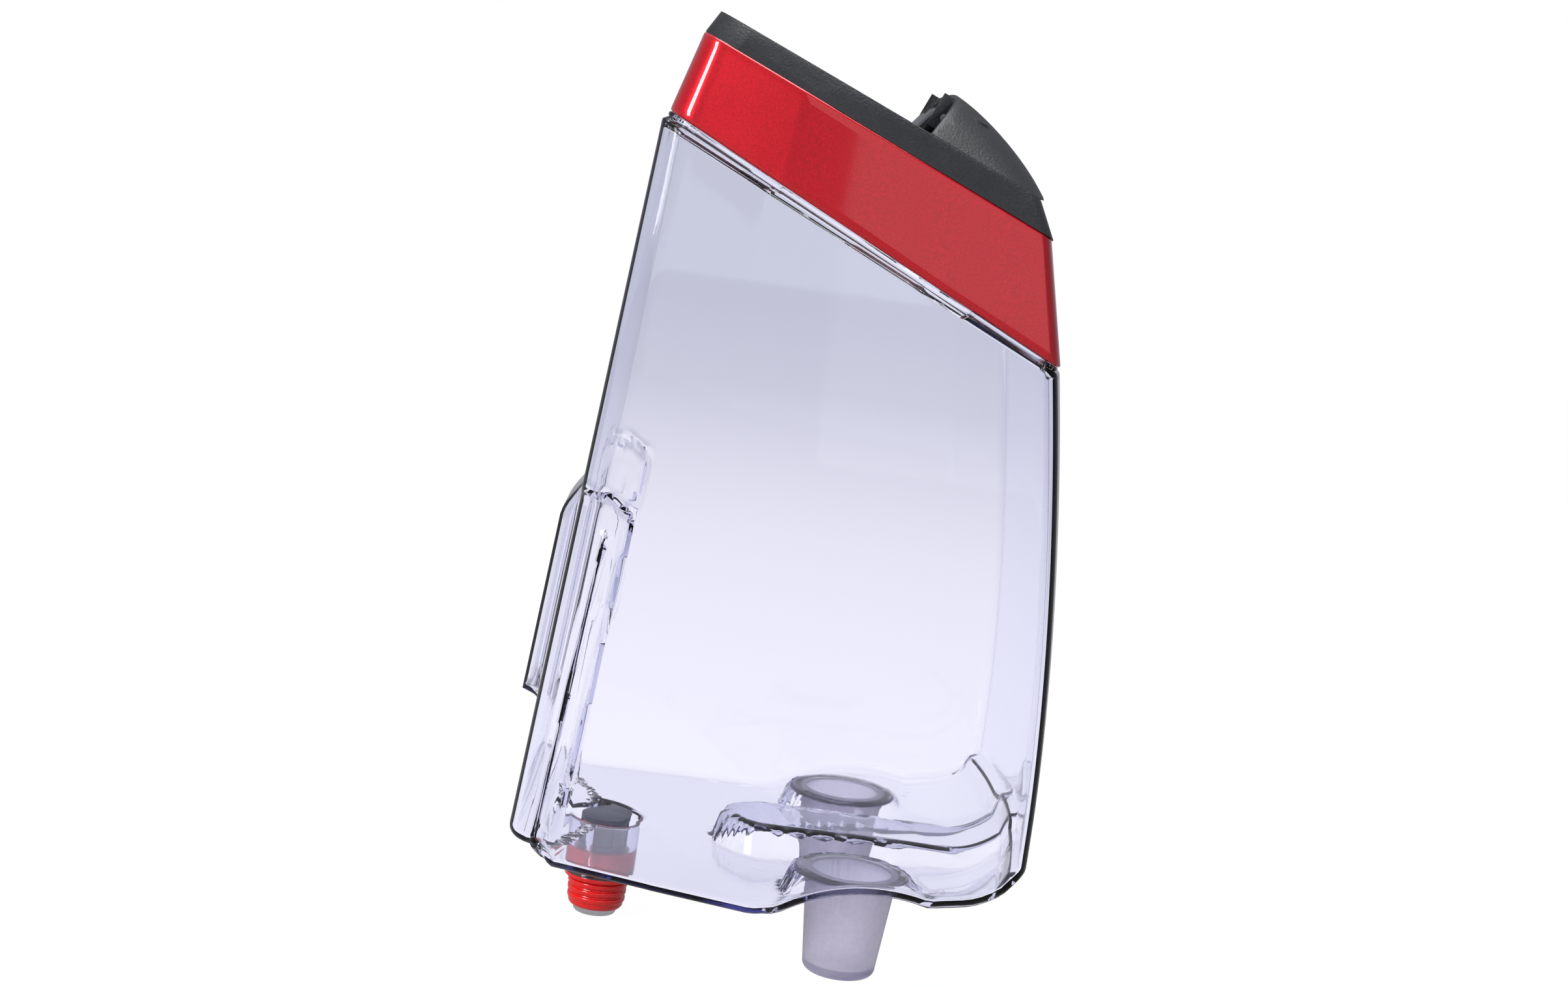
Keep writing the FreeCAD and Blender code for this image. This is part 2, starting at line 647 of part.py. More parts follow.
def topCover():
    """Border, recessed well, fill neck, hinge ears and vent seat in one moulding."""
    low = size.gasketThick - size.rimDepth
    plug = deckSlab("CoverPlug", size.bandWall + 0.2, low, zero)
    border = loft("CoverBorder", [deckOutline("CoverLow", 0), coverOutline("CoverHigh", 0)], True)
    deckTop = low + size.coverPlate
    well = extrude("CoverWell", coverOutline("CoverWellTop", size.wellInset), Size(40), (0, 0, 1), True)
    clip = block("CoverWellClip", 260, 260, 40, -40, 0, deckTop)
    well = common("CoverWellRoom", well, clip)
    base = cut("CoverShell", fuse("CoverSolid", plug, border), well)
    neck = cylinder("FillNeck", size.fillBore + 2.6, Size(2) - deckTop, size.fillX, 0, deckTop)
    ears = [block(f"LidEar{side}", 8, 5, 8.4, size.lidPinX - 4, 12 * side, deckTop) for side in (-1, 1)]
    vents = cylinder("VentSeat", 8.4, 2, size.fillX + 24, 52, deckTop)
    solid = fuse("CoverAdded", base, neck, vents, *ears)
    holes = [cylinder("FillHole", size.fillBore, 40, size.fillX, 0, -20),
             cylinder("VentHole", 2.6, 20, size.fillX + 24, 52, -12),
             crossCylinder("LidPinHole", size.pinRadius, 16, size.lidPinX, size.lidPinZ),
             block("PusherWindow", 40, 24.8, 5.4, 118, 0, 1.8)]
    for index, (x, y) in enumerate(screwPlaces()):
        holes.append(cylinder(f"ScrewHole{index}", size.screwRadius, 10, x, y, low - 4))
    return onDeck(cut("top_cover", solid, fuse("CoverHoles", *holes)))


def screwPlaces():
    """Along and across the deck, where the four hood screws stand."""
    return [(Size(103), Size(-60)), (Size(103), Size(60)), (Size(117), Size(-52)), (Size(117), Size(52))]


def screws():
    """Pan-head screws under the deck that pull the hood's bosses down on it."""
    under = size.gasketThick - size.rimDepth
    group = []
    for index, (x, y) in enumerate(screwPlaces()):
        shank = cylinder(f"HoodShank{index}", size.screwRadius - 0.02, 13, x, y, under)
        head = cylinder(f"HoodHead{index}", 3.6, 1.8, x, y, under - 1.8)
        socket = cylinder(f"HoodSocket{index}", 1.4, 1.2, x, y, under - 1.9)
        group.append(cut(f"HoodScrew{index}", fuse(f"HoodScrewBody{index}", shank, head), socket))
    compound(group, "hood_screws")


def compound(group, node):
    item = doc.addObject("Part::Compound", node)
    item.Links = group
    return onDeck(item)


def archSection(name, along, base, crest, baseHalf, crestHalf, bulge):
    """A hood section across the deck: flat foot, bowed sides and a slightly crowned top."""
    sketch = doc.addObject("Sketcher::SketchObject", name)
    upright = FreeCAD.Rotation(FreeCAD.Vector(1, 1, 1), 120)
    sketch.Placement = FreeCAD.Placement(FreeCAD.Vector(asSize(along).value, 0, 0), upright)
    sketch.setExpression("Placement.Base.x", asSize(along).text)
    return drawOutline(sketch, [
        (baseHalf, base, bulge, -1),
        (crestHalf, crest, Size(900), -1),
        (-crestHalf, crest, bulge, -1),
        (-baseHalf, base),
    ])


def hoodLoft(tag, wall, start):
    """Hood sections from the mouth to the front; wall 0 is the outside."""
    wall = asSize(wall)
    profile = [(start, size.hoodCrest, 84, 52, 60), (Size(102), Size(26.2), 84, 54, 60),
               (Size(118), Size(21.6), 83, 56, 60), (Size(130), Size(16.4), 80, 58, 70),
               (Size(137), Size(12.2), 74, 60, 90)]
    sections = []
    for index, (along, crest, baseHalf, crestHalf, bulge) in enumerate(profile):
        if wall.value and index == len(profile) - 1:
            continue
        foot = size.coverBackZ + 0.3 + along * 0.0079
        sections.append(archSection(f"{tag}Section{index}", along, foot - (wall * 0.3), crest - wall,
                                    asSize(baseHalf) - wall * 1.3, asSize(crestHalf) - wall * 0.8,
                                    asSize(bulge)))
    return loft(tag, sections)


def gripHood():
    outer = hoodLoft("HoodOutside", 0, size.hoodMouth - 2)
    inner = hoodLoft("HoodInside", size.hoodWall, size.hoodMouth - 3)
    shell = cut("HoodShell", outer, inner)
    mouth = block("MouthCut", 40, 220, 60, 0, 0, 0)
    place(mouth, size.hoodMouth - 40.4, -110, 0, axis=(0, 1, 0), angle=12)
    shell = cut("HoodOpen", shell, mouth)
    cheeks = [block(f"HoodCheek{side}", 9, 4, 13.4, size.leverPinX - 4.5, (size.leverHalf + 3) * side, 13.4)
              for side in (-1, 1)]
    cheeks = common("HoodCheeks", fuse("HoodCheekBlocks", *cheeks), outer)
    deckTop = size.gasketThick - size.rimDepth + size.coverPlate
    bosses = []
    pilots = []
    for index, (x, y) in enumerate(screwPlaces()):
        bosses.append(cylinder(f"HoodBoss{index}", 4.2, 29.5 - index // 2 * 3.7, x, y, deckTop))
        pilots.append(cylinder(f"HoodPilot{index}", size.screwRadius, 11, x, y, deckTop - 1))
    pinHole = crossCylinder("LeverPinHole", size.pinRadius, size.leverHalf + 6, size.leverPinX,
                            size.leverPinZ)
    solid = fuse("HoodSolid", shell, cheeks, *bosses)
    return onDeck(cut("grip_hood", solid, fuse("HoodHoles", pinHole, *pilots)))


def releaseLever():
    """A paddle hanging from a barrel round the lever pin, with a thumb that meets the pusher."""
    pinX = size.leverPinX
    pinZ = size.leverPinZ
    barrel = crossCylinder("LeverBarrel", 4, size.leverHalf, pinX, pinZ)
    paddle = sidePrism("LeverPaddle", [
        (pinX - 1, pinZ + 3.8), (pinX - 3.8, pinZ + 1.2), (pinX - 6.2, pinZ - 7),
        (pinX - 6.6, Size(4.8)), (pinX - 3.4, Size(4.8)), (pinX - 3.0, pinZ - 7),
        (pinX + 1, pinZ - 3.8),
    ], size.leverHalf)
    thumb = block("LeverThumb", 6, 20, 4.4, pinX - 4, 0, 2.6)
    post = block("LeverPost", 3.2, 20, 8, pinX - 6.4, 0, 2.6)
    solid = fuse("LeverSolid", barrel, paddle, thumb, post)
    bore = crossCylinder("LeverBore", size.pinRadius + size.runningGap, size.leverHalf + 2, pinX, pinZ)
    room = crossCylinder("LeverSpringRoom", 4.4, 7, pinX, pinZ, 20)
    onDeck(cut("release_lever", solid, fuse("LeverHoles", bore, room)))
    onDeck(pinAlongY("lever_pin", size.pinRadius, size.leverHalf + 5, pinX, pinZ))
    turn = FreeCAD.Placement(FreeCAD.Vector(size.deckX.value, 0, size.deckZ.value),
                             FreeCAD.Rotation(FreeCAD.Vector(0, 1, 0), size.deckTilt.value))
    seat = FreeCAD.Placement(FreeCAD.Vector(pinX.value, 20, pinZ.value),
                             FreeCAD.Rotation(FreeCAD.Vector(1, 0, 0), -90))
    coil("lever_spring", 2.6, 0.4, -5.5, 5.5, 5, turn.multiply(seat))


def pinAlongY(node, radius, halfLength, x, z):
    """A pin along Y kept as a compound, so that its node can carry the deck's placement."""
    item = doc.addObject("Part::Compound", node)
    item.Links = [crossCylinder(node + "Rod", radius, halfLength, x, z)]
    return item


def releasePusher():
    """The slide that the lever pushes out through the front window to free the latch."""
    rod = block("PusherRod", 40.4, 24, 4.6, size.leverPinX + 2.3, 0, 2.2)
    face = block("PusherFace", 9, 24, 4.6, 133, 0, 2.2)
    onDeck(fuse("release_pusher", rod, face))


def fillLid():
    """The hinged lid over the fill opening, its seal and its pin."""
    disc = cylinder("LidDisc", size.lidRadius, 3, size.fillX, 0, 3.6)
    lip = block("LidLip", 8, 18, 3, size.fillX + size.lidRadius - 3, 0, 3.6)
    arm = block("LidArm", 12, 18.6, 3, size.lidPinX, 0, 3.6)
    knuckle = crossCylinder("LidKnuckle", 3.4, 9.3, size.lidPinX, size.lidPinZ)
    plug = cylinder("LidPlug", size.fillBore - 2.2, 5.6, size.fillX, 0, -2)
    hollow = cylinder("LidPlugRoom", size.fillBore - 4.2, 5.6, size.fillX, 0, -2.1)
    bore = crossCylinder("LidBore", size.pinRadius + size.runningGap, 16, size.lidPinX, size.lidPinZ)
    solid = fuse("LidSolid", disc, lip, arm, knuckle, plug)
    onDeck(cut("fill_lid", solid, fuse("LidHoles", hollow, bore)))
    onDeck(pinAlongY("lid_pin", size.pinRadius, 14.5, size.lidPinX, size.lidPinZ))
    ring = cylinder("SealOutside", size.fillBore + 2.2, 1.2, size.fillX, 0, 2.4)
    hole = cylinder("SealInside", size.fillBore - 2.2, 3, size.fillX, 0, 2)
    onDeck(cut("lid_seal", ring, hole))


def airVent():
    """The rubber umbrella that lets air in as the water leaves, and its guard."""
    deckTop = size.gasketThick - size.rimDepth + size.coverPlate
    x = size.fillX + 24
    stem = cylinder("VentStem", 1.6, 8, x, 52, deckTop - 4)
    flap = cone("VentFlap", 7, 4, 1.4, x, 52, deckTop + 2.1)
    onDeck(fuse("vent_flap", stem, flap))
    shell = cylinder("VentGuardShell", 10.4, 6.4, x, 52, deckTop)
    room = cylinder("VentGuardRoom", 8.6, 5, x, 52, deckTop - 0.1)
    slots = [block(f"VentSlot{index}", 1.6, 12, 10, x - 4.6 + index * 3.8, 52, deckTop + 3)
             for index in range(3)]
    onDeck(cut("vent_guard", shell, fuse("VentGuardHoles", room, *slots)))


nodes = ["tank_shell", "docking_peg_left", "docking_peg_right", "collar_band", "collar_gasket", "top_cover",
         "grip_hood", "hood_screws", "release_lever", "lever_pin", "lever_spring", "release_pusher",
         "fill_lid", "lid_pin", "lid_seal", "vent_flap", "vent_guard", "valve_housing", "valve_gasket",
         "valve_tip_ring", "valve_plunger", "plunger_seal", "valve_spring", "spring_retainer",
         "strainer_frame", "strainer_screen"]

tankShell()
dockingPeg("docking_peg_left", 1)
dockingPeg("docking_peg_right", -1)
collarParts()
topCover()
screws()
gripHood()
releaseLever()
releasePusher()
fillLid()
airVent()
valveHousing()
valveParts()
strainer()

doc.recompute()
failed = [item.Name for item in doc.Objects if "Invalid" in item.State or "Error" in item.State]
if failed:
    raise RuntimeError(f"these objects did not compute: {failed}")
for node in nodes:
    item = doc.getObject(node)
    item.Label = node
    if item.Shape.isNull() or not item.Shape.isValid():
        raise RuntimeError(f"{node} has no valid shape")

os.makedirs("parts", exist_ok=True)
for node in nodes:
    shape = doc.getObject(node).Shape
    print(node, round(shape.Volume), len(shape.Solids))
    shape.exportStep(f"parts/{node}.step")
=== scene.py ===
import bmesh
import bpy
import math
from mathutils import Matrix, Vector


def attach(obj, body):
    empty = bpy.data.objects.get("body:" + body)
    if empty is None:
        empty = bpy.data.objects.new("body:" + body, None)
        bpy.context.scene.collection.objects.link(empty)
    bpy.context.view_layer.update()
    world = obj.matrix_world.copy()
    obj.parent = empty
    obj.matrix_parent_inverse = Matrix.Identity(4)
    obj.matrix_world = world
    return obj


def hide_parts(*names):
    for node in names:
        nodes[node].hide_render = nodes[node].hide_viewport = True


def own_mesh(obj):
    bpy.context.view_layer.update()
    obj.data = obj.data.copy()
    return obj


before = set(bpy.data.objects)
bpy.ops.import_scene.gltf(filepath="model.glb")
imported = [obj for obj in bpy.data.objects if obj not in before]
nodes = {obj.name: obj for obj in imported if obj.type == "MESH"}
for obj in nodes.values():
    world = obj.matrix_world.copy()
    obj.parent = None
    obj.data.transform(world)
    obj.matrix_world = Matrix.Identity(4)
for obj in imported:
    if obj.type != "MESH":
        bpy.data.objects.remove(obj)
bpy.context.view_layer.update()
scene = bpy.context.scene
mm = 0.001
print("frame loaded")

# Lengths are in millimetres. A pair is (x, z) or (starts, ends), and a slope is a rise per millimetre.
tank = {
    "backFoot": (-36.5, 30), "backLean": 0.0855,  # back wall: a point of it, and its lean
    "frontX": 159.5, "frontBendZ": 80, "frontBend": 0.00205, "frontPower": 1.75,
    "backHalf": 87, "seamHalf": 93.5, "halfWidth": 96, "run": 190,
    "backCorner": 12, "frontCorner": 7, "seam": 0.29, "bow": 7.4,
    "shoulderBack": (-11.2, 323), "shoulderSlope": -0.4619, "shoulderDrop": 1.6,
    "wall": 2.6, "edgeRound": 5, "edgeSteps": 5, "footZ": 48, "wallRows": 110, "floorRows": 64,
    "rimInset": 2.9, "rimLift": -10.5,
}
outlineSteps = {
    "backCorner": 12, "behindSeam": 22, "aheadOfSeam": 36, "frontCorner": 8, "front": 40, "back": 36,
}
rimProfiles = {
    # (inset, lift) of each ring under the collar, then over the shoulder
    "flange": ((2.9, 1.2), (2.6, -0.2), (0.7, -0.25), (0.3, -0.5), (0.3, -1.4), (0.7, -1.8), (0.85, -2.2)),
    "shoulder": ((0.85, 1.0), (0.45, 0.9), (0.15, 0.55)),
}
neck = {
    "radius": 14.2, "flare": 1.6, "topZ": 38.2,
    "profile": ((0.5, 0.6), (0, 1.6), (0, 10), (0, 19.5), (-0.4, 20.2)),  # (wider by, below the top)
}
floorShape = {
    "backX": -14, "backZ": 38.8, "backSlope": -0.046, "foldX": 62, "foldZ": 35.3, "frontSlope": 0.088,
    "wingX": 61, "wingZ": 35.8, "wingRise": 0.17, "wingClimb": 0.177,
    "archX": 108.3, "archZ": -18.8, "archRadius": 68, "archTilt": 0.13,  # the wave over the pegs
    "pegX": 97.5, "pegY": 60, "seatZ": 46.6, "seatFade": (25, 21),
    "grooveFrom": 40, "grooveX": 66.5, "grooveZ": 47.5, "grooveFade": (22, 18),
    "noseX": 138, "noseBend": 0.021, "heel": (-16.5, -25.5), "heelRise": 6.7,
}
guideSlot = {
    "edge": (-18.5, 45), "edgeLean": 0.1035, "edgeFade": 1.4, "depth": 9, "side": (55, 70),
    "topZ": 182, "topDrop": 5, "topRun": 9, "topFade": 1.6,
    "ribDepth": 2.2, "ribIn": 6.5, "ribHalf": (1.9, 0.6), "ribTop": (172, 166),
}
fold = {
    "back": (-15.3, 76), "backSlope": -0.294, "turn": (18.7, 66), "turnSlope": -0.65,
    "lean": 0.26, "most": 9, "side": (60, 80),
}
hook = {"reach": 8, "side": (26, 24), "ramp": (184, 164), "foot": (90, 92.5)}
deck = {"back": (-0.2, 355), "tilt": 22.82}
collar = {
    # an edge is (back along the deck, back above it, extra tilt, run, half width)
    "low": (3.13, -30.7, 2.65, 168.6, 96), "high": (0, 0, 0, 145.2, 96),
    "wall": 2.2, "edge": 0.9, "edgeMiddle": 0.3, "rows": 12,
}
studio = {
    # a stop is (position, colour)
    # the ramp seen through clear walls is painted shade: a grey gradient the glass shows, while the camera
    # sees white
    "shadeThroughGlass": [(0.0, (0.95, 0.95, 0.97)), (0.5, (0.70, 0.72, 0.77)),
                     (0.62, (0.82, 0.83, 0.87)), (1.0, (0.97, 0.97, 1))],
    "room": [(0.0, (0.45, 0.45, 0.47)), (0.45, (0.38, 0.38, 0.44)),
             (0.65, (0.24, 0.24, 0.27)), (1.0, (0.50, 0.50, 0.52))],
    # the floor ramp is painted shade: a grey that deepens with distance, seen only through the clear walls
    "floor": [(0.0, (0.98, 0.98, 0.99)), (0.25, (0.90, 0.90, 0.92)),
              (0.6, (0.66, 0.67, 0.71)), (1.0, (0.60, 0.61, 0.66))],
    "floorNear": 0.2, "floorFar": 3.4, "floorDrop": 0.0015, "floorHalf": 4,  # metres
    "floorBase": (0.12, 0.12, 0.12), "floorBounce": (0.30, 0.30, 0.31), "floorSeen": (0.96, 0.96, 0.96),
    "aim": (0.06, 0, 0.18),
    "lights": {  # (place, size, power), in metres and watts
        "softboxLeft": ((-0.85, -0.85, 0.7), (0.35, 0.9), 20),
        "softboxTop": ((0.2, 0.1, 1.3), (0.8, 0.6), 9),
        "fillFront": ((0.5, -1.4, 0.5), (1.0, 1.2), 3),
    },
}
camera = {
    "target": (53.3, 0, 181), "distance": 1040, "azimuth": -1.7, "elevation": 8.3, "roll": 8,
    "lens": 59.8, "sensor": 36,
}


def smooth(starts, ends, value):
    share = min(max((value - starts) / (ends - starts), 0), 1)
    return share * share * (3 - 2 * share)


def onDeck(along, across, up):
    angle = math.radians(deck["tilt"])
    backX, backZ = deck["back"]
    return Vector((backX + along * math.cos(angle) + up * math.sin(angle), across,
                   backZ - along * math.sin(angle) + up * math.cos(angle)))


def addPiece(name, bm, material, body="tank", sharp=40):
    mesh = bpy.data.meshes.new(name)
    bm.to_mesh(mesh)
    bm.free()
    piece = bpy.data.objects.new(name, mesh)
    scene.collection.objects.link(piece)
    mesh.materials.append(material)
    mesh.shade_smooth()
    mesh.set_sharp_from_angle(angle=math.radians(sharp))
    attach(piece, body)
    return piece


weld = 0.00001  # metres


def ringSkin(rings, closed=False):  # a sheet laid over rings of points, welded where it meets itself
    rings = rings + rings[:1] if closed else rings
    bm = bmesh.new()
    around = len(rings[0])
    bmesh.ops.create_grid(bm, x_segments=around, y_segments=len(rings) - 1, size=1)
    bm.verts.ensure_lookup_table()
    for row, ring in enumerate(rings):
        for column in range(around + 1):
            bm.verts[row * (around + 1) + column].co = ring[column % around] * mm
    bmesh.ops.remove_doubles(bm, verts=bm.verts, dist=weld)
    bmesh.ops.recalc_face_normals(bm, faces=bm.faces)
    return bm


def softCopy(node, material, body, edge, sharp=32):  # a CAD node's copy with its edges rounded
    bm = bmesh.new()
    bm.from_mesh(nodes[node].data)
    bmesh.ops.remove_doubles(bm, verts=bm.verts, dist=weld)
    bmesh.ops.dissolve_limit(bm, angle_limit=math.radians(0.6), verts=bm.verts, edges=bm.edges)
    hard = [e for e in bm.edges if len(e.link_faces) == 2 and e.calc_face_angle(0) > math.radians(sharp)]
    if edge and hard:
        bmesh.ops.bevel(bm, geom=hard, offset=edge * mm, offset_type="OFFSET", segments=2, profile=0.5,
                        affect="EDGES", clamp_overlap=True, material=-1)
    piece = addPiece(node + "_look", bm, material, body, sharp)
    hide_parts(node)
    return piece


def newMaterial(name):
    material = bpy.data.materials.new(name)
    material.use_nodes = True
    tree = material.node_tree
    tree.nodes.clear()
    return material, tree


def put(tree, kind, x=0, y=0, **values):
    node = tree.nodes.new(kind)
    node.location = (x, y)
    for key, value in values.items():
        setattr(node, key, value)
    return node


def shader(tree, **sockets):  # a Principled shader and the output, with socket names in underscores
    out = put(tree, "ShaderNodeOutputMaterial", 600, 0)
    principled = put(tree, "ShaderNodeBsdfPrincipled", 300, 0)
    tree.links.new(principled.outputs[0], out.inputs["Surface"])
    for key, value in sockets.items():
        principled.inputs[key.replace("_", " ")].default_value = value
    return principled, out


def rampOf(tree, stops, x, y):
    ramp = put(tree, "ShaderNodeValToRGB", x, y)
    for index, (position, colour) in enumerate(stops):
        element = ramp.color_ramp.elements[index] if index < 2 else ramp.color_ramp.elements.new(position)
        element.position = position
        element.color = (*colour, 1)
    return ramp


grainMix = {"grainDetail": 3, "wanderDetail": 4, "pitShare": 0.7}
grainUse = {"roughFrom": (0.3, 0.7), "tintFrom": (0.3, 0.75)}


def grainGroup():  # fine moulded grain as a height and a mask, and a slow wander for wear
    group = bpy.data.node_groups.new("mouldGrain", "ShaderNodeTree")
    number = "NodeSocketFloat"
    for label, value in (("Scale", 900.0), ("Depth", 1.0), ("Wander", 40.0)):
        group.interface.new_socket(name=label, in_out="INPUT", socket_type=number).default_value = value
    for label in ("Height", "Mask", "Wear"):
        group.interface.new_socket(name=label, in_out="OUTPUT", socket_type=number)
    given = put(group, "NodeGroupInput", -800, 0)
    out = put(group, "NodeGroupOutput", 600, 0)
    where = put(group, "ShaderNodeTexCoord", -800, 300)
    fine = put(group, "ShaderNodeTexNoise", -500, 200)
    fine.inputs["Detail"].default_value = grainMix["grainDetail"]
    pits = put(group, "ShaderNodeTexVoronoi", -500, -100, feature="SMOOTH_F1")
    wander = put(group, "ShaderNodeTexNoise", -500, -400)
    wander.inputs["Detail"].default_value = grainMix["wanderDetail"]
    mix = put(group, "ShaderNodeMath", -200, 100, operation="MULTIPLY_ADD")
    mix.inputs[1].default_value = grainMix["pitShare"]
    deep = put(group, "ShaderNodeMath", 100, 100, operation="MULTIPLY")
    link = group.links.new
    for texture in (fine, pits, wander):
        link(where.outputs["Object"], texture.inputs["Vector"])
    link(given.outputs["Scale"], fine.inputs["Scale"])
    link(given.outputs["Scale"], pits.inputs["Scale"])
    link(given.outputs["Wander"], wander.inputs["Scale"])
    link(pits.outputs["Distance"], mix.inputs[0])
    link(fine.outputs["Fac"], mix.inputs[2])
    link(mix.outputs[0], deep.inputs[0])
    link(given.outputs["Depth"], deep.inputs[1])
    link(deep.outputs[0], out.inputs["Height"])
    link(fine.outputs["Fac"], out.inputs["Mask"])
    link(wander.outputs["Fac"], out.inputs["Wear"])
    return group


grain = grainGroup()


def useGrain(tree, principled, finish):  # bump, roughness and colour from the grain
    group = put(tree, "ShaderNodeGroup", -500, 0)
    group.node_tree = grain
    group.inputs["Scale"].default_value = finish["scale"]
    group.inputs["Wander"].default_value = finish["wander"]
    bump = put(tree, "ShaderNodeBump", 0, -300)
    bump.inputs["Strength"].default_value = finish["strength"]
    bump.inputs["Distance"].default_value = finish["bump"] * mm
    tree.links.new(group.outputs["Height"], bump.inputs["Height"])
    tree.links.new(bump.outputs[0], principled.inputs["Normal"])
    rough = put(tree, "ShaderNodeMapRange", -100, 100)
    rough.inputs["From Min"].default_value, rough.inputs["From Max"].default_value = grainUse["roughFrom"]
    rough.inputs["To Min"].default_value = finish["rough"] - finish["spread"]
    rough.inputs["To Max"].default_value = finish["rough"] + finish["spread"]
    tree.links.new(group.outputs["Wear"], rough.inputs["Value"])
    tree.links.new(rough.outputs[0], principled.inputs["Roughness"])
    if "tint" in finish:
        ramp = rampOf(tree, list(zip(grainUse["tintFrom"], finish["tint"])), -200, 300)
        tree.links.new(group.outputs["Mask"], ramp.inputs[0])
        tree.links.new(ramp.outputs[0], principled.inputs["Base Color"])


def tintedThrough(tree, out, colour, density):
    volume = put(tree, "ShaderNodeVolumeAbsorption", 300, -300)
    volume.inputs["Color"].default_value = (*colour, 1)
    volume.inputs["Density"].default_value = density
    tree.links.new(volume.outputs[0], out.inputs["Volume"])


def clearPlastic():
    material, tree = newMaterial("clearTank")
    principled, out = shader(tree, Base_Color=(0.985, 0.985, 1, 1), Transmission_Weight=1.0, IOR=1.3)
    useGrain(tree, principled, {"scale": 14, "wander": 18, "strength": 0.05, "bump": 0.5,
                                "rough": 0.03, "spread": 0.02})
    tintedThrough(tree, out, (0.60, 0.60, 0.83), 88)
    return material


def frostedPlastic():
    material, tree = newMaterial("frostedPeg")
    principled, out = shader(tree, Base_Color=(0.9, 0.88, 0.95, 1), Transmission_Weight=0.86, IOR=1.46)
    useGrain(tree, principled, {"scale": 500, "wander": 60, "strength": 0.25, "bump": 0.3,
                                "rough": 0.42, "spread": 0.06,
                                "tint": ((0.80, 0.77, 0.86), (0.90, 0.88, 0.94))})
    tintedThrough(tree, out, (0.55, 0.52, 0.75), 40)
    return material


def metallicRed():
    material, tree = newMaterial("redFlakeGloss")
    principled, out = shader(tree, Metallic=0.45, Specular_IOR_Level=0.2, Coat_Weight=1.0,
                             Coat_Roughness=0.04, Coat_IOR=1.5)
    useGrain(tree, principled, {"scale": 1500, "wander": 30, "strength": 0.10, "bump": 0.08,
                                "rough": 0.36, "spread": 0.05,
                                "tint": ((0.38, 0.0, 0.005), (0.57, 0.001, 0.012))})
    return material


def blackMoulding():
    material, tree = newMaterial("blackGrain")
    principled, out = shader(tree, Specular_IOR_Level=0.5)
    useGrain(tree, principled, {"scale": 1100, "wander": 45, "strength": 0.55, "bump": 0.18,
                                "rough": 0.42, "spread": 0.05,
                                "tint": ((0.008, 0.009, 0.011), (0.016, 0.0175, 0.021))})
    return material


def plainPlastic(name, dark, light, rough, coat=0.0):
    material, tree = newMaterial(name)
    principled, out = shader(tree, Coat_Weight=coat)
    useGrain(tree, principled, {"scale": 700, "wander": 50, "strength": 0.15, "bump": 0.1,
                                "rough": rough, "spread": rough * 0.2, "tint": (dark, light)})
    return material


def bareMetal(name, dark, light, rough):
    material, tree = newMaterial(name)
    principled, out = shader(tree, Metallic=1.0)
    useGrain(tree, principled, {"scale": 900, "wander": 120, "strength": 0.08, "bump": 0.05,
                                "rough": rough, "spread": rough * 0.3, "tint": (dark, light)})
    return material


clear = clearPlastic()
frosted = frostedPlastic()
red = metallicRed()
black = blackMoulding()
glossBlack = plainPlastic("blackSmooth", (0.008, 0.008, 0.01), (0.014, 0.014, 0.017), 0.22)
valveRed = plainPlastic("valveRed", (0.62, 0.004, 0.004), (0.74, 0.008, 0.007), 0.22, coat=0.4)
rubber = plainPlastic("softSeal", (0.03, 0.03, 0.033), (0.05, 0.05, 0.055), 0.7)
grey = plainPlastic("strainerGrey", (0.055, 0.06, 0.085), (0.09, 0.10, 0.13), 0.45)
ventGrey = plainPlastic("ventGrey", (0.03, 0.03, 0.034), (0.05, 0.05, 0.056), 0.5)
steel = bareMetal("springSteel", (0.5, 0.5, 0.52), (0.66, 0.66, 0.68), 0.28)
chrome = bareMetal("chromeTip", (0.72, 0.72, 0.74), (0.82, 0.82, 0.84), 0.09)
print("materials made")


def planOutline():  # (share of the run, y, share of the bow) once round the tank
    half, corner, front, run = tank["backHalf"], tank["backCorner"], tank["frontCorner"], tank["run"]
    wide, seamHalf, seam = tank["halfWidth"], tank["seamHalf"], tank["seam"]
    start, end = corner / run, 1 - front / run
    side = []
    for step in range(outlineSteps["backCorner"] + 1):
        angle = math.radians(90 * step / outlineSteps["backCorner"])
        side.append(((corner - corner * math.cos(angle)) / run, half - corner + corner * math.sin(angle), 0))
    for step in range(1, outlineSteps["behindSeam"] + 1):
        share = step / outlineSteps["behindSeam"]
        side.append((start + (seam - start) * share, half + (seamHalf - half) * share, 0))
    for step in range(1, outlineSteps["aheadOfSeam"] + 1):
        share = step / outlineSteps["aheadOfSeam"]
        side.append((seam + (end - seam) * share, seamHalf + (wide - seamHalf) * share, 0))
    for step in range(1, outlineSteps["frontCorner"] + 1):
        angle = math.radians(90 * step / outlineSteps["frontCorner"])
        side.append((end + front / run * math.sin(angle), wide - front + front * math.cos(angle), 0))
    across = [1 - 2 * step / outlineSteps["front"] for step in range(1, outlineSteps["front"])]
    bowed = [(1, (wide - front) * share, 1 - share ** 2) for share in across]
    flat = [(0, (half - corner) * (2 * step / outlineSteps["back"] - 1), 0)
            for step in range(1, outlineSteps["back"])]
    return side + bowed + [(share, -y, bow) for share, y, bow in reversed(side)] + flat


outline = planOutline()


def deckRing(edge, inset, lift):  # the plan laid on a plane of the deck's frame
    along, up, tilt, run, halfWidth = edge
    angle = math.radians(tilt)
    ring = []
    for share, y, bowed in outline:
        reach = inset + share * (run - 2 * inset) + bowed * tank["bow"]
        side = y / tank["halfWidth"] * halfWidth
        side -= math.copysign(min(inset, abs(side)), side)
        ring.append(onDeck(along + reach * math.cos(angle) + lift * math.sin(angle), side,
                           up - reach * math.sin(angle) + lift * math.cos(angle)))
    return ring


